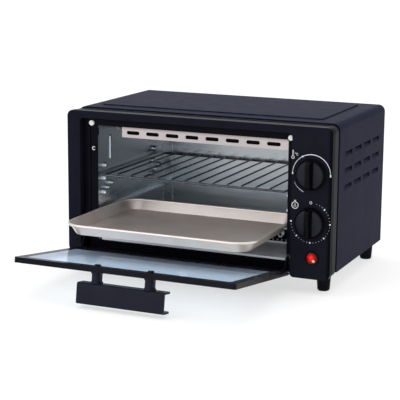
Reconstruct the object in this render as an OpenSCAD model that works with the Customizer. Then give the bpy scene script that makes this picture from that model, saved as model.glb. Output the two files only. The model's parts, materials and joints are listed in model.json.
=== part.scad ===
// Two-slice toaster oven with a drop-down glass door, a baking tray and a wire rack.
// X runs to the right seen from the front, Y to the rear and Z up.
// The origin is at the centre of the footprint, on the surface that the feet stand on.
// The door is drawn open on its stop, with the tray pulled out over it.

/* [Body] */
// Width of the front bezel
body_w = 365; // [360:1:380]
// Depth from the bezel's face to the rear edge of the case
body_d = 224; // [220:1:240]
// Height of the front bezel
bezel_h = 190; // [188:1:196]
// Height of the feet below the bezel
foot_h = 20; // [18:1:24]
// Thickness of the painted case sheet
case_t = 1; // [0.8:0.1:1.2]
// Height of the rectangle pressed in the top
emboss_h = 1.2; // [0.8:0.1:1.6]

/* [Oven cavity] */
// Inner face of the left wall
cavity_x0 = -144; // [-146:1:-143]
// Inner face of the right wall
cavity_x1 = 122.5; // [121:0.5:123]
// Thickness of the bare steel sheet
liner_t = 0.8; // [0.6:0.1:0.9]
// Height of the floor's top face
cavity_z0 = 36; // [35.5:0.1:36]
// Height of the ceiling's lower face
cavity_z1 = 194; // [193:1:195]

/* [Door] */
// Angle of the open door above the level
door_rest = 8.2; // [6:0.2:12]
// Length of the door from its hinge axis to its free edge
door_l = 175.3; // [174:0.1:175.5]
// Width of the clear window
window_w = 257; // [240:1:260]
// Length of the handle bar
handle_w = 115; // [100:1:120]
// Gap for the fingers between the bar and the door
finger_gap = 14; // [12:1:16]

/* [Tray and rack] */
// Width of the baking tray over its rim
tray_w = 256; // [250:1:256]
// Length of the baking tray over its rim
tray_l = 184; // [176:1:184]
// Depth of the baking tray
tray_h = 15; // [12:1:16]
// How far the tray is pulled out from its place behind the shut door
tray_out = 125; // [60:5:125]
// Level of the rack's frame wire
rack_z = 123.7; // [123.5:0.1:124.2]
// Number of long wires in the rack
rack_wires = 12; // [8:1:16]

/* [Controls] */
// Radius of the two knobs
knob_r = 19.5; // [17:0.5:20]
// Height of the thermostat dial
dial1_z = 151.7; // [148:1:154]
// Height of the timer dial
dial2_z = 91.4; // [88:1:94]
// Height of the pilot lamp
lamp_z = 47; // [44:1:50]

/* [Hidden] */
$fn = 64;

eps = 0.01;
far = 400;
y_face = -body_d / 2;          // the bezel's face
z_low = foot_h;                // underside of the bezel
z_high = foot_h + bezel_h;     // top of the bezel
bezel_r = 8;
bezel_t = 2.5;
bezel_depth = 9;

// window in the bezel that the door fills
win_x0 = -164.3;
win_x1 = 130.3;
win_z1 = z_high - 9.6;
win_r = 5;

// chassis: depths are measured back from the bezel's face
plate_y = 10;
plate_t = 1.5;
ring_y0 = 9.6;
ring_y1 = 24;
ring_w = body_w - 1.6;
ring_h = bezel_h - 1.6;
ring_z0 = z_low + 0.8;
ring_r = bezel_r - 0.8;
ring_t = 1.2;
neck_y1 = 46;
neck_w = 359.4;
neck_z0 = z_low + 5;
neck_z1 = z_high - 0.3;
neck_r = 8.4;
mouth_x0 = cavity_x0 + 0.5;
mouth_x1 = cavity_x1 - 0.5;
mouth_z0 = 37.5;
mouth_z1 = 190.5;
ridge_h = 1.4;

// case
case_w = 362.4;
case_x = case_w / 2;
case_y0 = 31;
case_z0 = z_low + 4;
case_z1 = z_high + 1.2;
case_r = 9;
panel_x = case_x - case_t - 0.1;   // bottom and back panels fit inside the case
panel_z1 = case_z1 - case_t - 0.1;
emboss_x = [-161, 150];
emboss_y = [55, 207];
louvre_rows = 3;
louvre_cols = 4;
louvre_z = 128;
louvre_row_pitch = 21.3;
louvre_y = 68;
louvre_col_pitch = 39;
louvre_l = 32;
louvre_h = 4;
louvre_slot = 2.6;
louvre_in = 3;

// cavity
cavity_y0 = plate_y + plate_t;
cavity_y1 = 212;
cavity_mid = (cavity_x0 + cavity_x1) / 2;
reflector_x0 = -109;
reflector_x1 = cavity_x1 - 0.3;
reflector_z0 = 176.8;
bush_r = 6;
rod_r = 3.2;
upper_rods = [70, 150];
upper_rod_z = 182.5;
lower_rods = [112, 168];
lower_rod_z = 48;
rod_x0 = cavity_x0 - 12;
rod_x1 = cavity_x1 + 5;

// studs pressed in the side walls: [depth, height, radius] of the front group
studs = [[27, 134.8, 4.2], [25, 117.8, 4.2], [45, 108.6, 4.2], [25, 98.6, 4.2], [33.6, 104, 3]];
stud_out = 5.8;
stud_group = 150;              // distance from the front group of studs to the rear one

// door, measured from its hinge axis with the door shut
axis_y = 4;
axis_z = z_low + 4.5;
door_mid = -18;
door_w = 291;
door_x0 = door_mid - door_w / 2;
door_x1 = door_mid + door_w / 2;
barrel_r = 3.8;
door_in = 3;                   // the inner face stands this far behind the axis
door_swing = 90 - door_rest;
window_s0 = 44;
window_s1 = 158;
glass_lap = 5.8;               // the pane reaches this far behind the frame
pin_r = 1.4;
pin_gap = 0.05;
arm_reach = 17;
arm_x = [door_x0 + 3.3, door_x1 - 2.3];
boss_w = [6, 3.2];
spring_r = 1.75;
spring_y1 = 62;

// handle
bar_t = 2.6;
bar_deep = 26;
bar_tall = 16;
bar_s1 = door_l - 0.8;
post_pitch = 70;
post_w = 11;
post_l = 15;
post_s = bar_s1 - bar_tall / 2;

// tray: its place behind the shut door, then moved forward by tray_out
tray_y0 = 25;
tray_z1 = 82;
tray_corner = 28;
tray_flat = 15;
tray_t = 0.8;
bead_r = 1.8;
tray_mid = cavity_mid - 0.25;

// rack
rack_w = 254;
rack_y0 = 16;
rack_y1 = 205;
frame_wire = 1.4;
long_wire = 1.1;

// controls
dial_x = 156;
shaft_r = 3;
lamp_x = 159.5;
lamp_r = 7.4;

// feet and screws
foot_x = 165.3;
foot_y = [29.9, 208.9];
foot_r0 = 8;
foot_r1 = 9.5;
gland_x = 150;
gland_z = 46;
gland_bore = 3.75;

black_paint = "#26262e";
black_plastic = "#1b1b20";
bare_steel = "#a9adb0";
bright_steel = "#c9ccd0";

// ---------- helpers ----------

// moves depths measured from the bezel's face to the part's own frame
module from_face() translate([0, y_face, 0]) children();

// extrudes an outline drawn in X and Z from depth y0 back to depth y1
module along_y(y0, y1)
    translate([0, y1, 0])
    rotate([90, 0, 0])
    linear_extrude(y1 - y0)
    children();

// rectangle from (x0, z0) to (x1, z1) with round corners
module round_rect(x0, z0, x1, z1, r) {
    translate([x0 + r, z0]) square([x1 - x0 - 2 * r, z1 - z0]);
    translate([x0, z0 + r]) square([x1 - x0, z1 - z0 - 2 * r]);
    for (x = [x0 + r, x1 - r], z = [z0 + r, z1 - r]) translate([x, z]) circle(r);
}

// the same rectangle with only its upper corners round
module round_top(x0, z0, x1, z1, r) {
    translate([x0 + r, z0]) square([x1 - x0 - 2 * r, z1 - z0]);
    translate([x0, z0]) square([x1 - x0, z1 - z0 - r]);
    for (x = [x0 + r, x1 - r]) translate([x, z1 - r]) circle(r);
}

// solid box between two corners
module block(a, b) translate(a) cube(b - a);

// cylinder along X from x0 to x1, centred on depth y and height z
module rod_x(x0, x1, y, z, r) translate([x0, y, z]) rotate([0, 90, 0]) cylinder(h = x1 - x0, r = r);

// cylinder along Y from y0 to y1, centred on x and height z
module rod_y(y0, y1, x, z, r) translate([x, y1, z]) rotate([90, 0, 0]) cylinder(h = y1 - y0, r = r);

// turns the shut door open about its hinge axis; children use [x, y from axis, z from axis]
module door_open() from_face() translate([0, axis_y, axis_z]) rotate([door_swing, 0, 0]) children();

// ---------- case and chassis ----------

// outline of the case, open below; an inset outline reaches past the lower edges
module case_outline(inset)
    round_top(
        inset - case_x, case_z0 - (inset > 0 ? 1 : 0), case_x - inset, case_z1 - inset,
        case_r - inset
    );

module louvre_places()
    for (row = [0:louvre_rows - 1], col = [0:louvre_cols - 1])
        translate([case_x, louvre_y + col * louvre_col_pitch, louvre_z + row * louvre_row_pitch])
        children();

// opening in the sheet for one louvre; its upper part stays open as the slot
module louvre_cut() block([-case_t - 1, -louvre_l / 2, -louvre_h], [1, louvre_l / 2, louvre_slot]);

// the sheet below the slot, pressed inwards, and its two cheeks
module louvre_pocket() {
    back = -case_t - louvre_in;
    leaf = [[0, -louvre_h], [-case_t, -louvre_h], [back, 0], [-louvre_in, 0]];
    cheek = [[0, -louvre_h], [back, 0], [back, louvre_slot], [0, louvre_slot]];
    translate([0, louvre_l / 2, 0]) rotate([90, 0, 0]) linear_extrude(louvre_l) polygon(leaf);
    for (y = [-louvre_l / 2, louvre_l / 2 - case_t])
        translate([0, y + case_t, 0])
        rotate([90, 0, 0])
        linear_extrude(case_t)
        polygon(cheek);
}

module outer_case() from_face() color(black_paint) {
    difference() {
        union() {
            along_y(case_y0, body_d) difference() {
                case_outline(0);
                case_outline(case_t);
            }
            // rear flange that the back panel's screws pass through
            along_y(body_d - case_t, body_d) difference() {
                case_outline(0);
                round_top(-case_x + 11, case_z0 - 1, case_x - 11, case_z1 - 11, 3);
            }
            translate([0, 0, case_z1 - case_t])
                linear_extrude(case_t + emboss_h)
                round_rect(emboss_x[0], emboss_y[0], emboss_x[1], emboss_y[1], 6);
        }
        translate([0, 0, case_z1 - case_t - eps])
            linear_extrude(emboss_h + eps)
            round_rect(
                emboss_x[0] + case_t, emboss_y[0] + case_t,
                emboss_x[1] - case_t, emboss_y[1] - case_t, 5
            );
        louvre_places() louvre_cut();
        back_screw_places(body_d - 2, body_d + 1, 1.7);
    }
    louvre_places() louvre_pocket();
}

// rounds off a lower corner of the bezel beside the window
module foot_corner(x, side, r)
    translate([x, z_low])
    difference() {
        translate([side > 0 ? -1 : -r, -1]) square([r + 1, r + 1]);
        translate([side * r, r]) circle(r);
    }

// pillar, top band and control area in one outline
module bezel_outline(inset) difference() {
    round_rect(
        inset - body_w / 2, z_low + inset, body_w / 2 - inset, z_high - inset,
        bezel_r - inset
    );
    round_top(win_x0 - inset, z_low - 1, win_x1 + inset, win_z1 + inset, win_r + inset);
    if (inset == 0) {
        foot_corner(win_x0, -1, win_r);
        foot_corner(win_x1, 1, win_r);
    }
}

module front_bezel() from_face() color(black_plastic) {
    difference() {
        union() {
            along_y(0, bezel_t) bezel_outline(0);
            along_y(bezel_t - eps, bezel_depth) difference() {
                bezel_outline(0);
                bezel_outline(bezel_t);
            }
            for (z = [dial1_z, dial2_z]) rod_y(bezel_t - eps, plate_y - 3, dial_x, z, 7);
            // pegs that stand on the chassis plate
            for (x = [-173.5, 176], z = [60, 120, 180]) rod_y(bezel_t - eps, plate_y, x, z, 2.5);
        }
        // room for the left hinge bracket
        block([win_x0 - 3, bezel_t, z_low - 1], [win_x0 + 1, plate_y, axis_z + 8]);
        for (z = [dial1_z, dial2_z]) rod_y(-1, plate_y + 1, dial_x, z, 4.5);
        rod_y(-1, plate_y + 1, lamp_x, lamp_z, lamp_r);
    }
}

// slot in the chassis that a door arm swings through
module arm_slot(x, w)
    block(
        [x - w / 2 - 0.8, plate_y - 1, axis_z - 2.3],
        [x + w / 2 + 0.8, ring_y1 + 2, axis_z + arm_reach + 4.5]
    );

// outline of the flange ring behind the bezel, and of the neck that enters the case
module ring_outline(inset)
    round_rect(
        inset - ring_w / 2, ring_z0 + inset, ring_w / 2 - inset, ring_z0 + ring_h - inset,
        ring_r - inset
    );

module neck_outline(inset)
    round_rect(
        inset - neck_w / 2, neck_z0 + inset, neck_w / 2 - inset, neck_z1 - inset,
        neck_r - inset
    );

module front_chassis() from_face() color(black_paint) {
    difference() {
        union() {
            along_y(plate_y, plate_y + plate_t) ring_outline(eps);
            along_y(ring_y0, ring_y1) difference() {
                ring_outline(0);
                ring_outline(ring_t);
            }
            along_y(ring_y1 - ring_t, ring_y1) difference() {
                ring_outline(0);
                neck_outline(ring_t);
            }
            along_y(ring_y1 - ring_t, neck_y1) difference() {
                neck_outline(0);
                neck_outline(ring_t);
            }
            // seal ridge at the left of the mouth and across its top, and ridges on the sill
            block([-156.2, plate_y - ridge_h, 50], [-153.6, plate_y + eps, 188]);
            block([-146, plate_y - ridge_h, 196.5], [118, plate_y + eps, 198.3]);
            for (z = [28, 31.5, 35]) block([-152, plate_y - ridge_h, z], [119, plate_y + eps, z + 1.2]);
        }
        along_y(plate_y - 2, plate_y + plate_t + 1) round_rect(mouth_x0, mouth_z0, mouth_x1, mouth_z1, 2);
        for (i = [0, 1]) arm_slot(arm_x[i], boss_w[i]);
        for (z = [dial1_z, dial2_z]) rod_y(plate_y - 1, plate_y + 3, dial_x, z, 5.2);
        rod_y(plate_y - 1, plate_y + 3, lamp_x, lamp_z, lamp_r + 0.2);
        control_screw_places(plate_y - 1, plate_y + 3, 1.5);
        for (x = [-foot_x, foot_x]) translate([x, foot_y[0], neck_z0 - 1]) cylinder(h = 3, r = 1.9);
    }
}

module bottom_panel() from_face() color(bare_steel) {
    difference() {
        union() {
            block([-panel_x, ring_y1 + 0.3, case_z0], [panel_x, body_d - 2, neck_z0]);
            for (side = [-1, 1])
                translate([side * (panel_x - 0.5), 0, 0])
                block([-0.5, neck_y1 + 0.3, case_z0], [0.5, body_d - 14, case_z0 + 14]);
        }
        for (x = [-foot_x, foot_x], y = foot_y)
            translate([x, y, case_z0 - 1])
            cylinder(h = 3, r = 1.9);
        for (i = [0:8])
            translate([-96 + i * 24, 0, 0])
            block([-2, 90, case_z0 - 1], [2, 150, neck_z0 + 1]);
    }
}

module back_panel() from_face() color(bare_steel) {
    difference() {
        union() {
            along_y(body_d - 2, body_d - 1) round_top(-panel_x, case_z0, panel_x, panel_z1, 8);
            along_y(body_d - 12, body_d - 2 + eps) difference() {
                round_top(-panel_x, case_z0 + 20, panel_x, panel_z1, 8);
                round_top(1 - panel_x, case_z0 + 19, panel_x - 1, panel_z1 - 1, 7);
            }
        }
        for (i = [0:10], row = [0, 1])
            translate([-110 + i * 20, body_d - 3, 60 + row * 90])
            block([-2, 0, 0], [2, 4, 34]);
        rod_y(body_d - 3, body_d, gland_x, gland_z, 6.6);
        back_screw_places(body_d - 3, body_d + 1, 1.5);
    }
}

module back_screw_places(y0, y1, r) {
    for (x = [-120, 0, 120]) rod_y(y0, y1, x, case_z1 - 6, r);
    for (x = [-case_x + 6, case_x - 6], z = [60, 150]) rod_y(y0, y1, x, z, r);
}

module back_screws() from_face() color(bright_steel) {
    back_screw_places(body_d - 9, body_d + eps, 1.5);
    back_screw_places(body_d, body_d + 1.9, 3.4);
}

// ---------- oven cavity ----------

module stud_set(x, out)
    for (s = studs, group = [0, stud_group])
        translate([x, s[0] + group, s[1]])
        rotate([0, 90 * out, 0])
        cylinder(h = stud_out, r1 = s[2], r2 = s[2] - 0.9);

module rod_holes(x) {
    for (y = upper_rods) rod_x(x - 5, x + 5, y, upper_rod_z, bush_r);
    for (y = lower_rods) rod_x(x - 5, x + 5, y, lower_rod_z, bush_r);
}

module side_wall(x, out) {
    difference() {
        block(
            [x, cavity_y0, cavity_z0 - liner_t],
            [x + liner_t, cavity_y1 + liner_t, cavity_z1 + liner_t]
        );
        rod_holes(x);
    }
    stud_set(out > 0 ? x + liner_t - 0.2 : x + 0.2, out);
    // tab that the door spring hooks on
    tab_x = arm_x[out > 0 ? 0 : 1];
    block(
        [min(tab_x - 2.2, x), spring_y1 - 1, axis_z + arm_reach - 3],
        [max(tab_x + 2.2, x + liner_t), spring_y1, axis_z + arm_reach + 3]
    );
}

module cavity_left_wall() from_face() color(bare_steel) {
    difference() {
        side_wall(cavity_x0 - liner_t, 1);
        // cut-out in the front edge near the top
        block([cavity_x0 - 2, cavity_y0 - 1, 177], [cavity_x0 + 2, cavity_y0 + 4, 187]);
    }
    // upright bead pressed near the front
    translate([cavity_x0, 46, 142]) cylinder(h = 29, r = 2.4);
    for (z = [142, 171]) translate([cavity_x0, 46, z]) sphere(2.4);
    // flange spot-welded to the rear wall
    block(
        [cavity_x0 - 0.2, cavity_y1 - liner_t, cavity_z0 + 4],
        [cavity_x0 + 15, cavity_y1, cavity_z1 - 4]
    );
}

module cavity_right_wall() from_face() color(bare_steel) side_wall(cavity_x1, -1);

module cavity_ceiling() from_face() color(bare_steel)
    block([cavity_x0, cavity_y0, cavity_z1], [cavity_x1, cavity_y1, cavity_z1 + liner_t]);

module cavity_rear_wall() from_face() color(bare_steel)
    block(
        [cavity_x0, cavity_y1, cavity_z0 - liner_t],
        [cavity_x1, cavity_y1 + liner_t, cavity_z1 + liner_t]
    );

module cavity_floor() from_face() color(bare_steel)
    block([cavity_x0, cavity_y0, cavity_z0 - liner_t], [cavity_x1, cavity_y1, cavity_z0]);

// stays between the cavity and the case: four at the rear and two under the floor
module cavity_stays() from_face() color(bare_steel) {
    for (x = [-90, 68], z = [52, 174]) block([x, cavity_y1 + liner_t, z], [x + 14, body_d - 2, z + 1.5]);
    for (x = [-90, 68]) block([x, 80, neck_z0], [x + 14, 81.5, cavity_z0 - liner_t]);
}

module crumb_tray() from_face() color(bright_steel) {
    tray_x0 = cavity_x0 + 4;
    tray_x1 = cavity_x1 - 4;
    block([tray_x0, 14, cavity_z0], [tray_x1, 98, cavity_z0 + liner_t]);
    block([tray_x0, 14, cavity_z0], [tray_x1, 14.8, cavity_z0 + 3.4]);
    block([tray_x0, 97.2, cavity_z0], [tray_x1, 98, cavity_z0 + 3]);
}

// ledges that the tray's rim slides on
module tray_rails() from_face() color(bare_steel) {
    ledge_z = tray_z1 - 2 * bead_r - 0.35;
    for (side = [0, 1]) {
        wall = side == 0 ? cavity_x0 : cavity_x1;
        inward = side == 0 ? 1 : -1;
        translate([wall, 0, ledge_z]) {
            block([min(0, inward * 6.5), 14, -1], [max(0, inward * 6.5), 205, 0]);
            block([min(0, inward), 14, -6], [max(0, inward), 205, 0]);
        }
    }
}

module top_reflector() from_face() color(bright_steel) {
    slots = 8;
    slot_pitch = 27.8;
    slot_x = -93;
    slot_z = 183.2;
    difference() {
        union() {
            block([reflector_x0, 13, reflector_z0], [reflector_x1, 13.8, cavity_z1]);
            block([reflector_x0, 13, reflector_z0], [reflector_x1, 18, reflector_z0 + 0.8]);
        }
        for (i = [0:slots - 1])
            translate([slot_x + i * slot_pitch, 0, 0])
            along_y(12, 15)
            round_rect(-9, slot_z - 2.4, 9, slot_z + 2.4, 2.2);
    }
}

// dark sheet behind the slots of the top reflector
module reflector_backing() from_face() color(black_paint)
    block([reflector_x0, 18, reflector_z0], [reflector_x1, 18.8, cavity_z1]);

module lower_reflector() from_face() color(black_paint) {
    holes = 40;
    hole_pitch = 6;
    difference() {
        block([cavity_x0 + 2, 100, cavity_z0], [cavity_x1 - 2, 100.8, 60]);
        for (i = [0:holes - 1])
            rod_y(99, 102, cavity_mid + (i - (holes - 1) / 2) * hole_pitch, cavity_z0 + 4.4, 1.3);
    }
}

// ---------- heating elements ----------

module upper_elements() from_face() color("#8a8d90")
    for (y = upper_rods) rod_x(rod_x0, rod_x1, y, upper_rod_z, rod_r);

module lower_elements() from_face() color("#8a8d90")
    for (y = lower_rods) rod_x(rod_x0, rod_x1, y, lower_rod_z, rod_r);

module all_rods() {
    for (y = upper_rods) translate([0, y, upper_rod_z]) children();
    for (y = lower_rods) translate([0, y, lower_rod_z]) children();
}

module element_bushes() from_face() color("#e8e4d8")
    all_rods()
    for (x = [cavity_x0 - 5.5, cavity_x1 - 0.5])
        translate([x, 0, 0])
        rotate([0, 90, 0])
        difference() {
            union() {
                cylinder(h = 6, r = bush_r - 0.1);
                translate([0, 0, x < 0 ? 0 : liner_t + 0.5]) cylinder(h = 4.7, r = bush_r + 1.6);
            }
            translate([0, 0, -1]) cylinder(h = 8, r = rod_r);
        }

module element_terminals() from_face() color(bright_steel)
    all_rods() {
        block([rod_x0 - 9, -3.1, -0.4], [rod_x0, 3.1, 0.4]);
        block([rod_x1, -1.5, -0.4], [rod_x1 + 1.6, 1.5, 0.4]);
    }

// clips hooked over the reflector strip; each one holds the front lower rod and has a fork
module element_supports() from_face() color(bright_steel)
    for (x = [-60, 76]) {
        fork_z = lower_rod_z + 3;
        top_z = 60;
        difference() {
            union() {
                block([x + 2, 99.2, cavity_z0 + 8], [x + 7, 99.8, top_z + 0.8]);
                translate([x + 4.5, 99.8, fork_z]) rotate([90, 0, 0]) cylinder(h = 0.6, r = 5.5);
            }
            translate([x + 4.5, 100.5, fork_z - 3]) rotate([90, 0, 0]) cylinder(h = 2, r = 2.2);
        }
        block([x + 2, 99.8 - eps, top_z], [x + 7, lower_rods[0] + 0.8, top_z + 0.8]);
        block([x + 2, lower_rods[0], lower_rod_z + rod_r], [x + 7, lower_rods[0] + 0.8, top_z + eps]);
    }

// ---------- control compartment ----------

module control_baffle() from_face() color(bare_steel)
    block([cavity_x1 + 7.4, cavity_y0, neck_z0 + ring_t], [cavity_x1 + 8.2, body_d - 13, cavity_z1 + 8]);

module switch_body(z, half, y1) {
    difference() {
        union() {
            block([dial_x - half, cavity_y0, z - half], [dial_x + half, y1, z + half]);
            rod_y(plate_y - 2, cavity_y0 + eps, dial_x, z, 5);
        }
        rod_y(plate_y - 3, 28, dial_x, z, shaft_r + 0.05);
        for (side = [-1, 1]) rod_y(plate_y, 19, dial_x + side * (half - 4), z, 1.5);
    }
    for (x = [dial_x - 7, dial_x + 7]) block([x - 3, y1 - eps, z - 8], [x + 3, y1 + 8, z - 7.2]);
}

module thermostat_body() from_face() color("#d9d2bf") switch_body(dial1_z, 15, 34);

module timer_body() from_face() color("#b8bcc0") switch_body(dial2_z, 17, 42);

module control_screw_places(y0, y1, r)
    for (d = [[dial1_z, 11], [dial2_z, 13]], side = [-1, 1])
        rod_y(y0, y1, dial_x + side * d[1], d[0], r);

module control_screws() from_face() color(bright_steel) {
    control_screw_places(plate_y - eps, 18, 1.5);
    control_screw_places(plate_y - 1.8, plate_y, 2.9);
}

// cup-shaped bell on a stem behind the timer
module timer_bell() from_face() color("#c8b070")
    translate([dial_x, 42, dial2_z + 9])
    rotate([-90, 0, 0]) {
        cylinder(h = 12, r = 2);
        difference() {
            translate([0, 0, 10]) cylinder(h = 9, r = 15);
            translate([0, 0, 9]) cylinder(h = 8.8, r = 14.2);
        }
        translate([0, 0, 10]) cylinder(h = 9, r = 2);
    }

// round cap with a domed front
module lamp_lens() from_face() color("#d01818", 0.9) {
    rod_y(-1.2, 0, lamp_x, lamp_z, lamp_r + 1);
    rod_y(-eps, 8.6, lamp_x, lamp_z, lamp_r);
    translate([lamp_x, -1.2 + eps, lamp_z]) rotate([90, 0, 0]) intersection() {
        translate([0, 0, -9.2]) sphere(12);
        cylinder(h = 4, r = lamp_r);
    }
}

module lamp_holder() from_face() color("#e6e2da") {
    rod_y(8.6, 32, lamp_x, lamp_z, 6);
    for (x = [lamp_x - 3, lamp_x + 3]) block([x - 0.4, 32, lamp_z - 2], [x + 0.4, 39, lamp_z + 2]);
}

module terminal_block() from_face() color("#e6e2da")
    difference() {
        block([138, 176, neck_z0], [172, 194, neck_z0 + 15]);
        for (i = [0:2]) rod_y(175, 183, 144 + i * 11, neck_z0 + 8, 2.2);
    }

// a run of insulated wire through a list of points
module wire_run(points) {
    for (i = [0:len(points) - 2]) {
        d = points[i + 1] - points[i];
        translate(points[i])
            rotate([0, acos(d[2] / norm(d)), atan2(d[1], d[0])])
            cylinder(h = norm(d), r = 1.3, $fn = 16);
    }
    for (p = points) translate(p) sphere(1.6, $fn = 16);
}

module wiring() from_face() color("#b03030") {
    wire_run([[144, 174, 33], [144, 150, 40], [149, 90, 60], [149, 52, 84]]);
    wire_run([[155, 174, 33], [156, 120, 50], [176.5, 90, 80], [176.5, 60, 130], [163, 44, 144]]);
    wire_run([[166, 174, 33], [168, 120, 36], [162.5, 60, 44], [162.5, 41, 47]]);
    wire_run([[149, 44, 144], [140, 70, 160], [133, 90, 176], [133, 150, 178]]);
    wire_run([[163, 52, 84], [172, 90, 64], [134, 130, 56], [134, 160, 52]]);
}

// ---------- door hardware on the body ----------

module door_bumpers() from_face() color("#e4e4e4")
    for (x = [-151, 125.6]) {
        rod_y(plate_y - 2.6, plate_y, x, 193.4, 3.4);
        rod_y(plate_y - 2.9, plate_y - 2.6 + eps, x, 193.4, 2.6);
    }

module door_catch() from_face() color(bright_steel) {
    block([-150.6, plate_y - 0.8, 154], [-145.6, plate_y, 166]);
    translate([-148.1, plate_y - 0.8 + eps, 160]) rotate([90, 0, 0]) cylinder(h = 1.4, r1 = 2.4, r2 = 1.6);
}

module hinge_bracket(x, t, inner) {
    difference() {
        block([x, bezel_t + 0.2, z_low + 2.2], [x + t, plate_y, axis_z + 6]);
        rod_x(x - 1, x + t + 1, axis_y, axis_z, pin_r);
    }
    block([x - (inner ? 0 : 5), plate_y - 1, axis_z - 2], [x + t + (inner ? 2 : 0), plate_y, axis_z + 6]);
}

module hinge_brackets() from_face() color(bare_steel) {
    hinge_bracket(door_x0 - 2.8, 1.8, false);
    hinge_bracket(door_x1 + 0.6, 1.6, true);
}

module hinge_pins() from_face() color(bright_steel) {
    rod_x(door_x0 - 4.6, door_x0 + 7.5, axis_y, axis_z, pin_r);
    rod_x(door_x1 - 7.5, door_x1 + 2.6, axis_y, axis_z, pin_r);
}

// coil wound along Y from y0 to y1 with its axis on x = 0, z = 0
module coil(y0, y1, turns, r, wire_r) {
    steps = 10;
    sides = 5;
    n = turns * steps;
    points = [
        for (i = [0:n], j = [0:sides - 1])
        let (
            turn = 360 * i / steps,
            side = 360 * j / sides,
            radius = r + wire_r * cos(side)
        )
        [radius * cos(turn), y0 + (y1 - y0) * i / n + wire_r * sin(side), radius * sin(turn)]
    ];
    bands = [
        for (i = [0:n - 1], j = [0:sides - 1], half = [0, 1])
        let (k = (j + 1) % sides)
        half == 0
            ? [i * sides + j, i * sides + k, (i + 1) * sides + k]
            : [i * sides + j, (i + 1) * sides + k, (i + 1) * sides + j]
    ];
    ends = [[for (j = [sides - 1:-1:0]) j], [for (j = [0:sides - 1]) n * sides + j]];
    polyhedron(points, concat(bands, ends));
}

// tension springs from the arms back to tabs on the cavity; the shut door lets them shorten
module door_springs() from_face() color(bright_steel)
    for (x = arm_x)
        translate([x, 0, axis_z + arm_reach])
        coil(axis_y + 6.5, spring_y1 - 1.6, 14, spring_r - 0.45, 0.4);

// ---------- feet, screws and gland ----------

module feet() from_face() color("#101012")
    for (x = [-foot_x, foot_x], y = foot_y)
        translate([x, y, 0])
        difference() {
            union() {
                cylinder(h = 2, r1 = foot_r0 - 1, r2 = foot_r0);
                translate([0, 0, 2]) cylinder(h = case_z0 - 2, r1 = foot_r0, r2 = foot_r1);
            }
            translate([0, 0, -1]) cylinder(h = 9, r = 4.6);
            translate([0, 0, -1]) cylinder(h = case_z0 + 2, r = 1.9);
            // relief under the chassis
            block([-far, -far, z_low + 0.5], [far, ring_y1 + 0.2 - y, far]);
        }

module foot_screws() from_face() color(bright_steel)
    for (x = [-foot_x, foot_x], y = foot_y)
        translate([x, y, 0]) {
            translate([0, 0, 5.6]) cylinder(h = 2.4, r = 3.8);
            translate([0, 0, 8 - eps]) cylinder(h = neck_z0 + 3.4 - 8, r = 1.9);
        }

module cord_gland() from_face() color("#151517")
    difference() {
        union() {
            rod_y(body_d - 1, body_d + 5, gland_x, gland_z, 9);
            rod_y(body_d - 8, body_d - 1 + eps, gland_x, gland_z, 6.5);
            rod_y(body_d - 5, body_d - 2.1, gland_x, gland_z, 8);
        }
        rod_y(body_d - 9, body_d + 6, gland_x, gland_z, gland_bore);
    }

// ---------- door ----------

// outline of the clear window grown on all sides
module window_outline(grow, r)
    round_rect(
        door_mid - window_w / 2 - grow, window_s0 - grow,
        door_mid + window_w / 2 + grow, window_s1 + grow, r
    );

module door_frame() door_open() color(black_plastic)
    difference() {
        union() {
            along_y(-barrel_r, door_in) difference() {
                round_top(door_x0, 0, door_x1, door_l, 3);
                window_outline(0, 2);
            }
            rod_x(door_x0, door_x1, 0, 0, barrel_r);
            for (s = [15, 23, 31])
                block([door_x0 + 12, door_in - eps, s], [door_x1 - 12, door_in + 0.6, s + 1.6]);
        }
        // rebate for the glass and its gasket
        along_y(-1.8, door_in + 1) window_outline(glass_lap + 0.2, 3);
        // bores for the hinge pins
        rod_x(door_x0 - 1, door_x0 + 8, 0, 0, pin_r + pin_gap);
        rod_x(door_x1 - 8, door_x1 + 1, 0, 0, pin_r + pin_gap);
        handle_screw_places(-5, door_in + 1, 2);
    }

module door_glass() door_open() color("#b8c8d8", 0.35)
    along_y(-1, door_in)
    window_outline(glass_lap, 3);

module glass_gasket() door_open() color("#333333")
    along_y(-1.8, -1)
    difference() {
        window_outline(glass_lap, 3);
        window_outline(0, 2);
    }

// steel arm on the door's inner face; it swings back through the chassis slot as the door shuts
module door_arm(x, w, foot_side) {
    translate([x - 0.8, 0, 0])
        rotate([90, 0, 90])
        linear_extrude(1.6)
        polygon([
            [door_in, 2.6], [door_in, 13], [door_in + 5, 9], [arm_reach, 4.4], [arm_reach, -1.6],
            [4.4, -1], [4.3, 1]
        ]);
    translate([x - 0.8, arm_reach, 1.4]) rotate([0, 90, 0]) cylinder(h = 1.6, r = 3);
    translate([x - w / 2, arm_reach, 1.4]) rotate([0, 90, 0]) cylinder(h = w, r = 2.3);
    block(
        [x - (foot_side > 0 ? 0.8 : 9), door_in, 4.6],
        [x + (foot_side > 0 ? 9 : 0.8), door_in + 1.2, 13]
    );
}

module door_arms() door_open() color(bright_steel) {
    door_arm(arm_x[0], boss_w[0], 1);
    door_arm(arm_x[1], boss_w[1], -1);
}

module post_outline(grow) {
    for (side = [-1, 1])
        translate([0, side * (post_l - post_w) / 2])
        circle(post_w / 2 + grow);
    translate([-post_w / 2 - grow, (post_w - post_l) / 2]) square([post_w + 2 * grow, post_l - post_w]);
}

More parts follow.
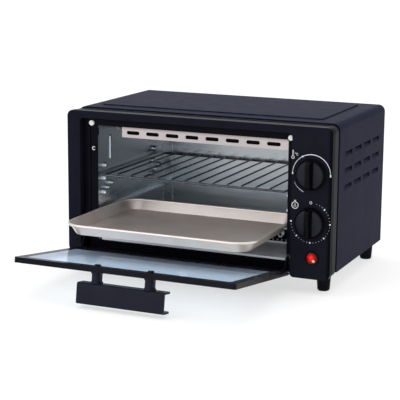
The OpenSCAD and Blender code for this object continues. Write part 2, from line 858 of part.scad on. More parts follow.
module handle_bar() door_open() color(black_plastic)
    difference() {
        translate([door_mid - handle_w / 2, 0, 0])
            rotate([90, 0, 90])
            linear_extrude(handle_w)
            translate([-barrel_r - finger_gap - bar_deep, bar_s1 - bar_tall])
            difference() {
                union() {
                    square([bar_deep, bar_tall - 3]);
                    translate([3, 0]) square([bar_deep - 6, bar_tall]);
                    for (y = [3, bar_deep - 3]) translate([y, bar_tall - 3]) circle(3);
                }
                translate([bar_t, -1]) square([bar_deep - 2 * bar_t, bar_tall - bar_t + 1]);
            }
        handle_screw_places(-barrel_r - finger_gap - bar_t - 1, -barrel_r - finger_gap + 1, 2);
    }

module handle_posts() door_open() color(black_plastic)
    difference() {
        for (side = [-1, 1])
            translate([door_mid + side * post_pitch / 2, -barrel_r, post_s])
            rotate([90, 0, 0])
            linear_extrude(finger_gap)
            post_outline(0);
        handle_screw_places(-barrel_r - finger_gap - 1, 0, 2);
    }

module handle_screw_places(y0, y1, r)
    for (side = [-1, 1]) rod_y(y0, y1, door_mid + side * post_pitch / 2, post_s, r);

module handle_screws() door_open() color(bright_steel) {
    handle_screw_places(-barrel_r - finger_gap - bar_t, door_in + eps, 2);
    handle_screw_places(door_in, door_in + 1.8, 3.8);
    handle_screw_places(-barrel_r - finger_gap - bar_t - 1.9, -barrel_r - finger_gap - bar_t + eps, 3.4);
}

// ---------- tray and rack ----------

// section of the tray from a corner's centre outwards: flat base, flared wall and rolled rim
module tray_section() {
    wall_x = tray_corner - bead_r;
    polygon([
        [0, 0], [tray_flat, 0], [tray_flat + 3, 0.8], [wall_x - 1.2, tray_h - bead_r * 1.6],
        [wall_x, tray_h - bead_r], [wall_x - 0.8, tray_h - bead_r], [wall_x - 2, tray_h - bead_r * 1.4],
        [tray_flat + 2.6, 0.8 + tray_t], [tray_flat, tray_t], [0, tray_t]
    ]);
    translate([wall_x, tray_h - bead_r]) circle(bead_r);
}

module tray_edge(length) rotate([90, 0, 90]) linear_extrude(length) tray_section();

module baking_tray()
    from_face()
    color("#b4b6b8")
    translate([tray_mid - tray_w / 2, tray_y0 - tray_out, tray_z1 - tray_h]) {
        inner_w = tray_w - 2 * tray_corner;
        inner_l = tray_l - 2 * tray_corner;
        translate([tray_corner, tray_corner, 0]) cube([inner_w, inner_l, tray_t]);
        for (c = [[1, 1, 0], [0, 1, 90], [0, 0, 180], [1, 0, 270]])
            translate([tray_corner + c[0] * inner_w, tray_corner + c[1] * inner_l, 0])
            rotate(c[2])
            rotate_extrude(angle = 90)
            tray_section();
        translate([tray_corner, tray_corner + inner_l, 0]) tray_edge(inner_w);
        translate([tray_corner + inner_w, tray_corner, 0]) rotate(180) tray_edge(inner_w);
        translate([tray_corner + inner_w, tray_corner + inner_l, 0]) rotate(-90) tray_edge(inner_l);
        translate([tray_corner, tray_corner, 0]) rotate(90) tray_edge(inner_l);
    }

module wire_rack() from_face() color("#d0d2d6") {
    x0 = cavity_mid - rack_w / 2;
    x1 = cavity_mid + rack_w / 2;
    for (y = [rack_y0, rack_y1]) rod_x(x0, x1, y, rack_z, frame_wire);
    for (x = [x0, x1]) rod_y(rack_y0, rack_y1, x, rack_z, frame_wire);
    for (x = [x0, x1], y = [rack_y0, rack_y1]) translate([x, y, rack_z]) sphere(frame_wire);
    for (i = [1:rack_wires])
        rod_y(
            rack_y0 + 0.3, rack_y1 - 0.3, x0 + i * rack_w / (rack_wires + 1),
            rack_z + frame_wire + long_wire - 0.35, long_wire
        );
}

// ---------- knobs ----------

module knob(z) {
    skirt = 3;
    face = 8;
    grip = 19;
    difference() {
        union() {
            rod_y(-skirt, -0.6, dial_x, z, knob_r);
            rod_y(-face, -skirt + eps, dial_x, z, knob_r - 1);
            intersection() {
                block([dial_x - 4.6, -grip, z - knob_r], [dial_x + 4.6, -face + eps, z + knob_r]);
                rod_y(-grip - 1, 0, dial_x, z, knob_r - 1.2);
            }
        }
        rod_y(-13, 1, dial_x, z, shaft_r);
    }
}

module dial_shaft(z) rod_y(-13, 27.5, dial_x, z, shaft_r);

module thermostat_knob() from_face() color(black_plastic) knob(dial1_z);

module thermostat_shaft() from_face() color(bright_steel) dial_shaft(dial1_z);

module timer_knob() from_face() color(black_plastic) knob(dial2_z);

module timer_shaft() from_face() color(bright_steel) dial_shaft(dial2_z);

// ---------- nodes ----------

outer_case();
front_bezel();
front_chassis();
bottom_panel();
back_panel();
cavity_left_wall();
cavity_right_wall();
cavity_ceiling();
cavity_rear_wall();
cavity_floor();
cavity_stays();
crumb_tray();
tray_rails();
top_reflector();
reflector_backing();
lower_reflector();
upper_elements();
lower_elements();
element_bushes();
element_terminals();
element_supports();
control_baffle();
thermostat_body();
timer_body();
timer_bell();
lamp_lens();
lamp_holder();
terminal_block();
wiring();
control_screws();
door_bumpers();
door_catch();
hinge_brackets();
hinge_pins();
door_springs();
feet();
foot_screws();
back_screws();
cord_gland();
door_frame();
door_glass();
glass_gasket();
door_arms();
handle_bar();
handle_posts();
handle_screws();
baking_tray();
wire_rack();
thermostat_knob();
thermostat_shaft();
timer_knob();
timer_shaft();
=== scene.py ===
import json
import math

import bmesh
import bpy
from mathutils import Matrix, Vector

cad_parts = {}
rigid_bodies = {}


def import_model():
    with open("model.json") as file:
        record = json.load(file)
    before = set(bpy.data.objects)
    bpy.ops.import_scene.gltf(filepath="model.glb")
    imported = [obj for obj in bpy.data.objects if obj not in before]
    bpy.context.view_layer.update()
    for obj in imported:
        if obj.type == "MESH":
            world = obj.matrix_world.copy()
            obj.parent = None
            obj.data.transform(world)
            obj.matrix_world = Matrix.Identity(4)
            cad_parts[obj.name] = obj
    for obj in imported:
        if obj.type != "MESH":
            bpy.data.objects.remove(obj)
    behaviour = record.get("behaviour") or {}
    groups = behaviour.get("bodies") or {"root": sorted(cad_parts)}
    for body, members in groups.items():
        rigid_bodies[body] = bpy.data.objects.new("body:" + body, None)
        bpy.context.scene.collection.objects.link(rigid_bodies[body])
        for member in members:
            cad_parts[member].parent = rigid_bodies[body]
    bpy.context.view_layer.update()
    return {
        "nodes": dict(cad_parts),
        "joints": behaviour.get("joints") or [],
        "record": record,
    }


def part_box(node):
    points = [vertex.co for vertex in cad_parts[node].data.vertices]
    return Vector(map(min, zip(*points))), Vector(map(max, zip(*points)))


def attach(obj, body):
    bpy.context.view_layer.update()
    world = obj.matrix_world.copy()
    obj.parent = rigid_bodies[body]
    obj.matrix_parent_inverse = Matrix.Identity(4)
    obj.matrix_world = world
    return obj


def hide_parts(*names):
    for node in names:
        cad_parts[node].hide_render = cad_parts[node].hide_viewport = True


for leftover in list(bpy.data.objects):
    bpy.data.objects.remove(leftover)

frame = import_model()
nodes = frame["nodes"]
MM = 0.001


# ---------------------------------------------------------------- materials


class Surface:
    """A node material on object coordinates, in metres, built up call by call."""

    def __init__(self, name, metallic=0.0, specular=0.5, coat=0.0, coat_roughness=0.1):
        self.mat = bpy.data.materials.new(name)
        self.mat.use_nodes = True
        self.nt = self.mat.node_tree
        self.bsdf = self.nt.nodes["Principled BSDF"]
        self.out = self.nt.nodes["Material Output"]
        self.bsdf.inputs["Metallic"].default_value = metallic
        self.bsdf.inputs["Specular IOR Level"].default_value = specular
        self.bsdf.inputs["Coat Weight"].default_value = coat
        self.bsdf.inputs["Coat Roughness"].default_value = coat_roughness
        self.coords = self.nt.nodes.new("ShaderNodeTexCoord")
        self.normal = None

    def link(self, a, b):
        self.nt.links.new(a, b)

    def place(self, scale, offset=(0, 0, 0)):
        """The object coordinates, scaled and then shifted."""
        mapping = self.nt.nodes.new("ShaderNodeMapping")
        mapping.inputs["Scale"].default_value = scale
        mapping.inputs["Location"].default_value = offset
        self.link(self.coords.outputs["Object"], mapping.inputs["Vector"])
        return mapping.outputs["Vector"]

    def noise(self, scale, detail=3.0, rough=0.55, distortion=0.0, offset=(0, 0, 0)):
        """scale is cycles per metre along X, Y and Z."""
        tex = self.nt.nodes.new("ShaderNodeTexNoise")
        tex.inputs["Scale"].default_value = 1.0
        tex.inputs["Detail"].default_value = detail
        tex.inputs["Roughness"].default_value = rough
        tex.inputs["Distortion"].default_value = distortion
        self.link(self.place(scale, offset), tex.inputs["Vector"])
        return tex.outputs["Fac"]

    def speckle(self, scale, randomness=1.0):
        """Small cells, scale per metre."""
        tex = self.nt.nodes.new("ShaderNodeTexVoronoi")
        tex.inputs["Scale"].default_value = 1.0
        tex.inputs["Randomness"].default_value = randomness
        self.link(self.place((scale,) * 3), tex.inputs["Vector"])
        return tex.outputs["Distance"]

    def spot(self, centre, radius=0.0074):
        """Distance from an (x, z) point in metres, 1 at radius."""
        node = self.nt.nodes.new("ShaderNodeVectorMath")
        node.operation = "LENGTH"
        offset = (-centre[0] / radius, 0.0, -centre[1] / radius)
        self.link(self.place((1 / radius, 0.0, 1 / radius), offset), node.inputs[0])
        return node.outputs["Value"]

    def ramp(self, fac, stops):
        """Colours at places between 0 and 1."""
        node = self.nt.nodes.new("ShaderNodeValToRGB")
        element = node.color_ramp.elements
        while len(element) < len(stops):
            element.new(0.5)
        for slot, (where, colour) in zip(element, stops):
            slot.position = where
            slot.color = (*colour, 1.0)
        self.link(fac, node.inputs["Fac"])
        return node.outputs["Color"]

    def spread(self, fac, low, high, src_low=0.3, src_high=0.7):
        """Stretches a value from its own range to low and high, and stops there."""
        node = self.nt.nodes.new("ShaderNodeMapRange")
        node.inputs["From Min"].default_value = src_low
        node.inputs["From Max"].default_value = src_high
        node.inputs["To Min"].default_value = low
        node.inputs["To Max"].default_value = high
        self.link(fac, node.inputs["Value"])
        return node.outputs["Result"]

    def math(self, op, a, b):
        node = self.nt.nodes.new("ShaderNodeMath")
        node.operation = op
        for slot, value in zip(node.inputs, (a, b)):
            if isinstance(value, (int, float)):
                slot.default_value = value
            else:
                self.link(value, slot)
        return node.outputs["Value"]

    def mix(self, fac, a, b, mode="MIX"):
        """Blends two colours, each a socket or an RGB tuple."""
        node = self.nt.nodes.new("ShaderNodeMix")
        node.data_type = "RGBA"
        node.blend_type = mode
        colour = [s for s in node.inputs if s.type == "RGBA"]
        if isinstance(fac, (int, float)):
            node.inputs["Factor"].default_value = fac
        else:
            self.link(fac, node.inputs["Factor"])
        for slot, value in zip(colour, (a, b)):
            if isinstance(value, tuple):
                slot.default_value = (*value, 1.0)
            else:
                self.link(value, slot)
        return [s for s in node.outputs if s.type == "RGBA"][0]

    def colour(self, socket):
        self.link(socket, self.bsdf.inputs["Base Color"])
        return self

    def roughness(self, socket):
        self.link(socket, self.bsdf.inputs["Roughness"])
        return self

    def bump(self, height, depth, strength=1.0):
        """depth is the height of the relief in metres."""
        node = self.nt.nodes.new("ShaderNodeBump")
        node.inputs["Distance"].default_value = depth
        node.inputs["Strength"].default_value = strength
        self.link(height, node.inputs["Height"])
        if self.normal is not None:
            self.link(self.normal, node.inputs["Normal"])
        self.normal = node.outputs["Normal"]
        self.link(self.normal, self.bsdf.inputs["Normal"])
        return self

    def fade(self, axis, start, end, tone):
        """Turns the base colour into tone between two places along an axis, in metres."""
        plain = self.bsdf.inputs["Base Color"].links[0].from_socket
        share = self.spread(self.axis(axis), 0.0, 1.0, start, end)
        return self.colour(self.mix(share, plain, tone))

    def axis(self, name):
        node = self.nt.nodes.new("ShaderNodeSeparateXYZ")
        self.link(self.coords.outputs["Object"], node.inputs["Vector"])
        return node.outputs[name]


def painted(name, dark, light, rough, specular, peel=2.2e-5):
    """Baked paint: orange peel, a fine grain and faint handling marks."""
    s = Surface(name, specular=specular)
    s.colour(s.ramp(s.noise((28, 28, 28), 4), [(0.3, dark), (0.7, light)]))
    s.roughness(s.spread(s.noise((60, 60, 60), 5, 0.65), rough - 0.02, rough + 0.03))
    s.bump(s.noise((520, 520, 520), 2), peel)
    s.bump(s.noise((2600, 2600, 2600), 1), peel * 0.35)
    return s


def moulded(name, dark, light, rough, specular=0.35, grain=1.6e-5):
    """Moulded plastic: a fine etched texture with soft gloss changes."""
    s = Surface(name, specular=specular)
    s.colour(s.ramp(s.noise((45, 45, 45), 3), [(0.3, dark), (0.7, light)]))
    s.roughness(s.spread(s.noise((90, 90, 90), 4), rough - 0.03, rough + 0.04))
    s.bump(s.speckle(1500), grain)
    s.bump(s.noise((240, 240, 240), 2), grain * 0.8)
    return s


def steel(name, dark, light, rough, lines, relief=1.2e-5, cloud=18, metallic=1.0):
    """Rolled sheet: lines along the rolling direction, clouds and small stains."""
    s = Surface(name, metallic=metallic)
    rolled = s.noise(lines, 3, 0.7)
    clouds = s.noise((cloud, cloud, cloud), 5, 0.6, 0.6)
    base = s.ramp(clouds, [(0.28, dark), (0.72, light)])
    fine = s.ramp(rolled, [(0.3, (0.93, 0.93, 0.94)), (0.7, (1.0, 1.0, 1.0))])
    s.colour(s.mix(1.0, base, fine, "MULTIPLY"))
    s.roughness(
        s.math("ADD", s.spread(clouds, rough - 0.05, rough + 0.05), s.spread(rolled, -0.03, 0.05))
    )
    s.bump(rolled, relief)
    return s


MATERIALS = {}
MATERIALS["case_paint"] = painted(
    "case_paint", (0.0120, 0.0124, 0.0270), (0.0145, 0.0150, 0.0315), 0.36, 0.006, 2.2e-5
).mat
MATERIALS["chassis_paint"] = painted(
    "chassis_paint", (0.0025, 0.0026, 0.0050), (0.0040, 0.0041, 0.0072), 0.34, 0.03
).mat
MATERIALS["door_paint"] = painted(
    "door_paint", (0.0030, 0.0031, 0.0062), (0.0045, 0.0046, 0.0088), 0.28, 0.07
).mat
MATERIALS["bright_steel"] = steel(
    "bright_steel", (0.62, 0.60, 0.60), (0.82, 0.80, 0.80), 0.30, (30, 30, 700)
).mat
MATERIALS["crumb_steel"] = steel(
    "crumb_steel", (0.80, 0.83, 0.87), (0.90, 0.93, 0.96), 0.5, (20, 20, 300), 0.8e-5, 12, 0.3
).mat
MATERIALS["element_sheath"] = steel(
    "element_sheath", (0.10, 0.10, 0.10), (0.22, 0.20, 0.19), 0.48, (300, 60, 60), 2e-5, 60
).mat
MATERIALS["ceramic"] = moulded(
    "ceramic", (0.62, 0.60, 0.54), (0.76, 0.73, 0.67), 0.62, 0.3, 3e-5
).mat
MATERIALS["nylon_white"] = moulded(
    "nylon_white", (0.66, 0.66, 0.63), (0.78, 0.78, 0.75), 0.45, 0.4
).mat
MATERIALS["bumper_white"] = moulded(
    "bumper_white", (0.70, 0.70, 0.70), (0.82, 0.82, 0.82), 0.34, 0.5
).mat
MATERIALS["wire_insulation"] = moulded(
    "wire_insulation", (0.30, 0.02, 0.02), (0.42, 0.04, 0.03), 0.50
).mat
MATERIALS["foot_plastic"] = moulded(
    "foot_plastic", (0.003, 0.003, 0.005), (0.005, 0.005, 0.008), 0.22, 0.04, 0.6e-5
).mat
MATERIALS["gasket_rubber"] = moulded(
    "gasket_rubber", (0.012, 0.012, 0.012), (0.022, 0.022, 0.022), 0.72, 0.3, 3e-5
).mat
MATERIALS["handle_plastic"] = moulded(
    "handle_plastic", (0.0080, 0.0082, 0.0165), (0.0105, 0.0107, 0.0205), 0.34, 0.08
).mat
MATERIALS["knob_rim"] = moulded(
    "knob_rim", (0.0010, 0.0010, 0.0016), (0.0016, 0.0016, 0.0024), 0.22, 0.07, 0.6e-5
).mat
MATERIALS["knob_grip"] = moulded(
    "knob_grip", (0.0009, 0.0009, 0.0014), (0.0014, 0.0014, 0.0020), 0.24, 0.07, 0.6e-5
).mat
MATERIALS["zinc_sheet"] = steel(
    "zinc_sheet", (0.26, 0.27, 0.28), (0.40, 0.41, 0.42), 0.40, (60, 60, 60), 0.6e-5, 90
).mat
# painted highlight: a lighter, less metallic copy of the wall steel, so the folded seams read as
# bright lines
MATERIALS["highlit_seam_steel"] = steel(
    "highlit_seam_steel", (0.78, 0.82, 0.84), (0.92, 0.95, 0.97), 0.30, (60, 60, 60), 0.4e-5, 60, 0.35
).mat
MATERIALS["screw_black"] = steel(
    "screw_black", (0.012, 0.012, 0.015), (0.020, 0.020, 0.024), 0.42, (200, 200, 200), 0.6e-5, 60
).mat
MATERIALS["ink"] = moulded("ink", (0.62, 0.62, 0.64), (0.74, 0.74, 0.76), 0.5, 0.3, 0.6e-5).mat


def bezel_material():
    """Black moulding, with painted shade darkening its right flank."""
    s = moulded("bezel_plastic", (0.0078, 0.0080, 0.0135), (0.0098, 0.0100, 0.0162), 0.18, 0.008)
    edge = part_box("front_bezel")[1].x
    # painted shade: the base colour turns much darker over the last few mm before the right edge
    return s.fade("X", edge - 0.006, edge - 0.002, (0.0026, 0.0027, 0.0046)).mat


def knob_face_material():
    """The dial's disc: spun satin plastic, a little lighter than its rim."""
    s = Surface("knob_face", specular=0.12)
    tones = [(0.3, (0.0098, 0.0096, 0.0160)), (0.7, (0.0135, 0.0132, 0.0208))]
    s.colour(s.ramp(s.noise((60, 60, 60), 3), tones))
    s.roughness(s.spread(s.noise((120, 120, 120), 4), 0.34, 0.44))
    s.bump(s.noise((900, 900, 90), 2), 1.0e-5)
    return s.mat


def liner_material():
    """Oven walls, darker towards the top: painted shade under the top reflector."""
    s = steel("liner_steel", (0.57, 0.62, 0.65), (0.67, 0.72, 0.75), 0.30, (14, 14, 300), 0.2e-5, 7)
    low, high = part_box("cavity_rear_wall")
    # painted shade: the steel fades to a dark grey over the upper part of the cavity walls
    return s.fade("Z", low.z + 0.4 * (high.z - low.z), high.z, (0.30, 0.325, 0.35)).mat


def reflector_material():
    """Bright strip, darker and browner towards its upper edge: painted shade cast by the top band.
    """
    s = steel("reflector_steel", (0.40, 0.36, 0.355), (0.50, 0.455, 0.45), 0.44, (20, 20, 500))
    low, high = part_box("top_reflector")
    # painted shade: the strip fades to dark brown towards its upper edge
    return s.fade("Z", low.z + 0.55 * (high.z - low.z), high.z, (0.17, 0.13, 0.12)).mat


def tray_material():
    """Drawn aluminium: soft directional polish, baked-on tan in patches, fine scratches."""
    s = Surface("tray_metal", metallic=0.80)
    polish = s.noise((700, 26, 90), 3, 0.7)
    clouds = s.noise((20, 20, 20), 5, 0.6, 0.8)
    base = s.ramp(clouds, [(0.25, (0.68, 0.61, 0.565)), (0.75, (0.80, 0.725, 0.68))])
    tan_tones = [(0.48, (1.0, 1.0, 1.0)), (0.78, (0.94, 0.86, 0.78))]
    tan = s.ramp(s.noise((9, 9, 9), 3, 0.6, 0.4), tan_tones)
    s.colour(s.mix(1.0, base, tan, "MULTIPLY"))
    s.roughness(s.math("ADD", s.spread(clouds, 0.34, 0.44), s.spread(polish, -0.04, 0.05)))
    s.bump(polish, 1.0e-5)
    scratch = s.noise((40, 1800, 40), 1, 0.5, 1.5, (0.3, 0.1, 0.2))
    s.bump(s.ramp(scratch, [(0.66, (0, 0, 0)), (0.70, (1, 1, 1))]), 0.5e-5)
    return s.mat


def chrome_material():
    """Bright plating with a trace of heat tint."""
    s = Surface("rack_chrome", metallic=1.0)
    tint = s.noise((30, 30, 30), 4, 0.6)
    s.colour(s.ramp(tint, [(0.3, (0.055, 0.06, 0.07)), (0.7, (0.09, 0.095, 0.11))]))
    s.roughness(s.spread(s.noise((160, 160, 160), 4), 0.20, 0.30))
    s.bump(s.noise((600, 600, 600), 2), 0.8e-5)
    return s.mat


def brass_material():
    """The timer's bell: dull yellow metal."""
    s = Surface("bell_metal", metallic=1.0)
    tones = [(0.3, (0.42, 0.31, 0.13)), (0.7, (0.62, 0.48, 0.22))]
    s.colour(s.ramp(s.noise((50, 50, 50), 5), tones))
    s.roughness(s.spread(s.noise((80, 80, 80), 4), 0.28, 0.42))
    s.bump(s.noise((400, 400, 400), 2), 1.5e-5)
    return s.mat


def lamp_material():
    """Red lens: painted shading, a bright core and a dark edge that give the dome its roundness,
    and a painted highlight low on the right.
    """
    s = Surface("lamp_red", specular=0.15, coat=0.05, coat_roughness=0.06)
    low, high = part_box("lamp_lens")
    x, z = (low.x + high.x) / 2, (low.z + high.z) / 2
    across = s.spot((x - 0.0008, z + 0.0008))
    # painted shade: the red darkens from the core to the edge of the dome
    dome_shade_reds = [(0.0, (0.80, 0.010, 0.008)), (0.45, (0.55, 0.004, 0.004)), (0.85, (0.10, 0.0, 0.0))]
    body = s.ramp(across, dome_shade_reds)
    # painted highlight: a pale spot low on the right of the lens
    painted_glint = s.spread(s.spot((x + 0.0026, z - 0.0030), 0.0022), 1.0, 0.0, 0.3, 1.0)
    s.colour(s.mix(painted_glint, body, (1.0, 0.62, 0.58)))
    s.roughness(s.spread(s.noise((200, 200, 200), 2), 0.12, 0.18))
    s.bump(s.speckle(420, 0.7), 0.6e-4, 0.5)
    glow = s.ramp(across, [(0.0, (1.0, 0.01, 0.005)), (0.7, (0.05, 0.0, 0.0))])
    s.link(glow, s.bsdf.inputs["Emission Color"])
    s.bsdf.inputs["Emission Strength"].default_value = 0.25
    return s.mat


def glass_material():
    """Tempered pane: clear face on; at a low angle a blue-grey surface and its gloss take over, the
    blue-grey painted to stand in for the lit floor seen through the pane.
    """
    s = Surface("door_glass", specular=0.5)
    s.bsdf.inputs["IOR"].default_value = 1.52
    wipes = s.noise((35, 35, 8), 4, 0.6, 1.0)
    # painted light: this blue-grey stands in for the lit floor seen through the glass
    s.colour(s.ramp(wipes, [(0.3, (0.57, 0.72, 0.92)), (0.75, (0.65, 0.80, 0.97))]))
    s.roughness(s.spread(wipes, 0.01, 0.05, 0.45, 0.8))
    clear = s.nt.nodes.new("ShaderNodeBsdfTransparent")
    clear.inputs["Color"].default_value = (0.90, 0.96, 1.0, 1.0)
    painted_view_mix = s.nt.nodes.new("ShaderNodeMixShader")
    facing = s.nt.nodes.new("ShaderNodeLayerWeight")
    facing.inputs["Blend"].default_value = 0.5
    grazing = s.math("POWER", facing.outputs["Facing"], 3.0)
    s.link(s.spread(grazing, 0.07, 0.95, 0.0, 1.0), painted_view_mix.inputs["Fac"])
    s.link(clear.outputs["BSDF"], painted_view_mix.inputs[1])
    s.link(s.bsdf.outputs["BSDF"], painted_view_mix.inputs[2])
    s.link(painted_view_mix.outputs["Shader"], s.out.inputs["Surface"])
    return s.mat


MATERIALS["bezel_plastic"] = bezel_material()
MATERIALS["knob_face"] = knob_face_material()
MATERIALS["liner_steel"] = liner_material()
MATERIALS["reflector_steel"] = reflector_material()
MATERIALS["tray_metal"] = tray_material()
MATERIALS["rack_chrome"] = chrome_material()
MATERIALS["bell_metal"] = brass_material()
MATERIALS["lamp_red"] = lamp_material()
MATERIALS["door_glass"] = glass_material()
MATERIALS["knob_plastic"] = MATERIALS["knob_rim"]

# nodes whose finish differs from the rest of their slot
OVERRIDES = {
    "top_reflector": "reflector_steel",
    "crumb_tray": "crumb_steel",
    "cavity_floor": "crumb_steel",
    "door_arms": "foot_plastic",
    "back_panel": "zinc_sheet",
    "bottom_panel": "zinc_sheet",
    "handle_screws": "screw_black",
}

for entry in frame["record"]["subparts"]:
    obj = nodes[entry["node"]]
    wanted = OVERRIDES.get(entry["node"], entry["material_slot"])
    obj.data.materials.clear()
    obj.data.materials.append(MATERIALS[wanted])


# ---------------------------------------------------------------- edges of the CAD parts

# node: bevel width in mm
BEVELS = {
    "outer_case": 0.35,
    "front_bezel": 1.1,
    "front_chassis": 0.4,
    "door_frame": 0.8,
    "door_glass": 0.25,
    "handle_bar": 0.9,
    "handle_posts": 0.5,
    "feet": 0.6,
    "bottom_panel": 0.3,
    "back_panel": 0.3,
    "top_reflector": 0.2,
    "crumb_tray": 0.2,
    "door_arms": 0.25,
    "hinge_brackets": 0.25,
    "hinge_pins": 0.3,
    "door_bumpers": 0.35,
    "lamp_lens": 0.3,
    "cord_gland": 0.6,
    "tray_rails": 0.2,
    "thermostat_body": 0.8,
    "timer_body": 0.8,
    "terminal_block": 0.6,
    "lamp_holder": 0.5,
    "control_screws": 0.3,
    "foot_screws": 0.3,
}


BEVEL_SEGMENTS = 3
SHARP_DEGREES = 35


def soften(obj, width_mm):
    """Rounds the sharp edges and shades the result smoothly."""
    obj.data.polygons.foreach_set("use_smooth", [True] * len(obj.data.polygons))
    bevel = obj.modifiers.new("edge_round", "BEVEL")
    bevel.width = width_mm * MM
    bevel.segments = BEVEL_SEGMENTS
    bevel.limit_method = "ANGLE"
    bevel.angle_limit = math.radians(SHARP_DEGREES)
    bevel.miter_outer = "MITER_ARC"
    bevel.use_clamp_overlap = True
    normal = obj.modifiers.new("edge_shade", "WEIGHTED_NORMAL")
    normal.weight = 60
    normal.keep_sharp = False


for name, width in BEVELS.items():
    soften(nodes[name], width)


# ---------------------------------------------------------------- pieces


def add_piece(name, bm, material, body, smooth=True, bevel_mm=0.0):
    """Makes an object of the mesh, gives it a material and puts it on a body."""
    mesh = bpy.data.meshes.new(name)
    bmesh.ops.recalc_face_normals(bm, faces=bm.faces[:])
    for face in bm.faces:
        face.smooth = smooth
    bm.to_mesh(mesh)
    bm.free()
    obj = bpy.data.objects.new(name, mesh)
    bpy.context.scene.collection.objects.link(obj)
    obj.data.materials.append(MATERIALS[material])
    if bevel_mm:
        soften(obj, bevel_mm)
    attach(obj, body)
    return obj


def lathe(bm, profile, centre, segments=96):
    """Turns (radius, y) points in mm about the Y axis through centre, an (x, z) in metres."""
    rings = []
    for radius, y in profile:
        if radius == 0:
            rings.append([bm.verts.new((centre[0], y * MM, centre[1]))])
            continue
        ring = []
        for i in range(segments):
            a = math.tau * i / segments
            x = centre[0] + radius * MM * math.cos(a)
            z = centre[1] + radius * MM * math.sin(a)
            ring.append(bm.verts.new((x, y * MM, z)))
        rings.append(ring)
    for lower, upper in zip(rings, rings[1:]):
        if len(lower) == 1 and len(upper) == 1:
            continue
        for i in range(segments):
            k = (i + 1) % segments
            if len(lower) == 1:
                bm.faces.new((lower[0], upper[k], upper[i]))
            elif len(upper) == 1:
                bm.faces.new((lower[i], lower[k], upper[0]))
            else:
                bm.faces.new((lower[i], lower[k], upper[k], upper[i]))


def at_angle(centre, radius, degrees):
    """A point in mm in the panel's plane: 0 degrees at 3 o'clock, rising anticlockwise."""
    a = math.radians(degrees)
    return centre[0] + radius * math.cos(a), centre[1] + radius * math.sin(a)


def circle(centre, radius, steps):
    """Points in mm round a full circle."""
    return [at_angle(centre, radius, 360 * i / steps) for i in range(steps)]


def strip(bm, inner, outer, y0, y1, closed=False):
    """A thin printed or moulded band between two matching rows of (x, z) points in mm."""
    rows = []
    for points, y in ((inner, y0), (outer, y0), (outer, y1), (inner, y1)):
        rows.append([bm.verts.new((x * MM, y * MM, z * MM)) for x, z in points])
    count = len(inner)
    for i in range(count if closed else count - 1):
        k = (i + 1) % count
        for a, b in ((0, 1), (1, 2), (2, 3), (3, 0)):
            bm.faces.new((rows[a][i], rows[a][k], rows[b][k], rows[b][i]))
    if not closed:
        bm.faces.new([row[0] for row in rows])
        bm.faces.new([row[-1] for row in rows][::-1])


def arc_band(bm, centre, radius, start, end, width0, width1, y0, y1, steps=48):
    """An arc whose width changes evenly from width0 to width1."""
    inner, outer = [], []
    for i in range(steps + 1):
        t = i / steps
        half = (width0 + (width1 - width0) * t) / 2
        degrees = start + (end - start) * t
        inner.append(at_angle(centre, radius - half, degrees))
        outer.append(at_angle(centre, radius + half, degrees))
    strip(bm, inner, outer, y0, y1)


def ring_band(bm, centre, radius, width, y0, y1, steps=40):
    """A closed ring of one width."""
    inner = circle(centre, radius - width / 2, steps)
    outer = circle(centre, radius + width / 2, steps)
    strip(bm, inner, outer, y0, y1, closed=True)


def dot(bm, centre, radius, y0, y1, steps=20):
    """A small flat disc."""
    outline = circle(centre, radius, steps)
    front = [bm.verts.new((x * MM, y0 * MM, z * MM)) for x, z in outline]
    back = [bm.verts.new((x * MM, y1 * MM, z * MM)) for x, z in outline]
    bm.faces.new(front)
    bm.faces.new(back[::-1])
    for i in range(steps):
        k = (i + 1) % steps
        bm.faces.new((front[i], back[i], back[k], front[k]))


def bar(bm, start, end, width, y0, y1):
    """A straight printed stroke from start to end, (x, z) in mm."""
    dx, dz = end[0] - start[0], end[1] - start[1]
    length = math.hypot(dx, dz)
    nx, nz = -dz / length * width / 2, dx / length * width / 2
    strip(
        bm,
        [(start[0] - nx, start[1] - nz), (end[0] - nx, end[1] - nz)],
        [(start[0] + nx, start[1] + nz), (end[0] + nx, end[1] + nz)],
        y0,
        y1,
    )


def skin(bm, rows):
    """Joins closed rows of the same length, each to the next."""
    for a, b in zip(rows, rows[1:]):
        for i in range(len(a)):
            k = (i + 1) % len(a)
            bm.faces.new((a[i], a[k], b[k], b[i]))


def shaft_centre(node):
    """The centre of a dial in mm, as (x, z), from its CAD shaft."""
    low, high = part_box(node)
    return (low.x + high.x) / 2 / MM, (low.z + high.z) / 2 / MM


DIAL_TEMP = shaft_centre("thermostat_shaft")
DIAL_TIME = shaft_centre("timer_shaft")
PANEL_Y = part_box("front_bezel")[0].y / MM
INK = (PANEL_Y - 0.09, PANEL_Y + 0.05)

# printed marks, in mm and degrees
TEMP_R = 24.4
# start and end angle, width at each, steps
TEMP_ARCS = (
    (177, 122, 0.55, 0.7, 48),
    (122, 116, 1.5, 1.5, 6),
    (116, 60, 0.95, 0.95, 48),
    (60, 3, 0.85, 0.55, 48),
    (183, 177, 1.45, 1.45, 6),
    (3, -4, 1.6, 1.6, 6),
    (206, 246, 0.22, 0.6, 24),
)
TIME_R = 25.2
TIME_MARKS = 6
TIME_MARK_DEGREES = 45
TIME_STEPS_PER_MARK = 5
# strokes on the stopwatch: start, end, width
WATCH_STROKES = (
    ((0, 4.4), (0, 5.6), 0.8),
    ((-1.3, 5.9), (1.3, 5.9), 0.7),
    ((0, 1.4), (0, 2.4), 0.5),
    ((-1.9, -1.3), (1.9, -1.3), 0.55),
    ((-1.4, -0.5), (-0.2, 1.5), 0.5),
    ((1.4, -0.5), (0.2, 1.5), 0.5),
)


